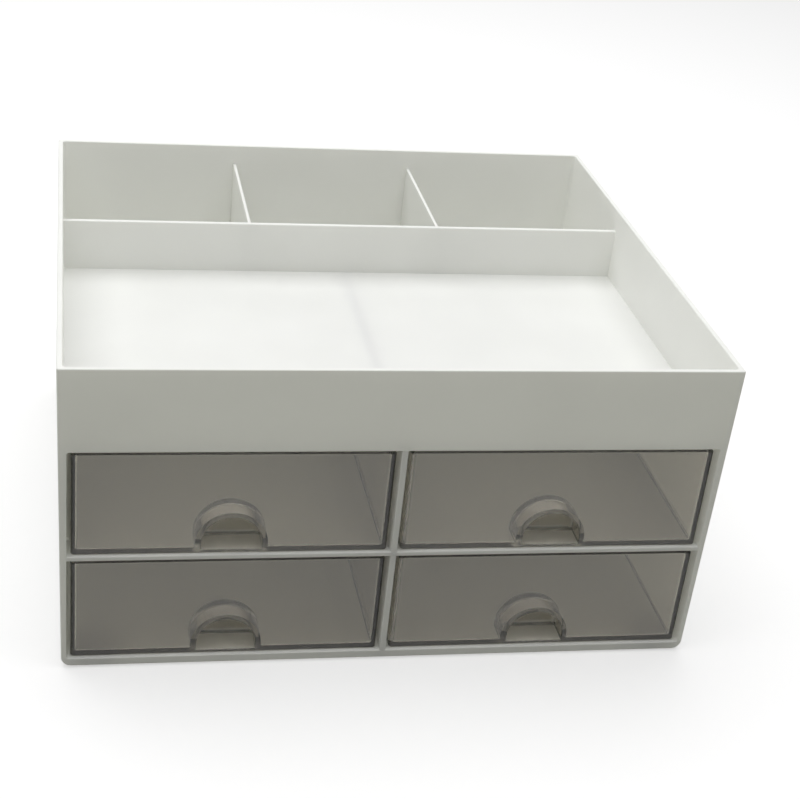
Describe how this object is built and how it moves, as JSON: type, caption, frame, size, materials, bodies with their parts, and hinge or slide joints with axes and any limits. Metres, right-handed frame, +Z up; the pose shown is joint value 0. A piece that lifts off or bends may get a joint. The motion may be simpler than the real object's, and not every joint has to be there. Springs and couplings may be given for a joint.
{
  "type": "desktop mini drawers",
  "caption": "Low box-shaped desk organizer: open tray in front, deep upright compartments behind it, and smoked clear drawers with finger pockets in two rows below.",
  "frame": {"origin": "on the table, below the middle of the top rim's outline", "axes": "+X to the right seen from the front, +Y to the back (the drawers open towards -Y), +Z up"},
  "size_m": [0.26, 0.236, 0.133],
  "materials": {
    "casing_white": "satin white moulded plastic",
    "drawer_smoked": "glossy see-through smoke grey plastic",
    "foot_pad": "matt pale soft pad"
  },
  "bodies": {
    "casing": {"casing": "casing_white", "mid_shelf": "casing_white", "centre_partition": "casing_white", "divider_left": "casing_white", "divider_right": "casing_white", "foot_front_left": "foot_pad", "foot_front_right": "foot_pad", "foot_rear_left": "foot_pad", "foot_rear_right": "foot_pad"},
    "drawer_upper_left": {"drawer_upper_left": "drawer_smoked"},
    "drawer_upper_right": {"drawer_upper_right": "drawer_smoked"},
    "drawer_lower_left": {"drawer_lower_left": "drawer_smoked"},
    "drawer_lower_right": {"drawer_lower_right": "drawer_smoked"}
  },
  "joints": [
    {"name": "drawer_upper_left_slide", "type": "slide", "parent": "casing", "child": "drawer_upper_left", "axis": [0, -1, 0], "range_m": [0, 0.135]},
    {"name": "drawer_upper_right_slide", "type": "slide", "parent": "casing", "child": "drawer_upper_right", "axis": [0, -1, 0], "range_m": [0, 0.135]},
    {"name": "drawer_lower_left_slide", "type": "slide", "parent": "casing", "child": "drawer_lower_left", "axis": [0, -1, 0], "range_m": [0, 0.135]},
    {"name": "drawer_lower_right_slide", "type": "slide", "parent": "casing", "child": "drawer_lower_right", "axis": [0, -1, 0], "range_m": [0, 0.135]}
  ]
}
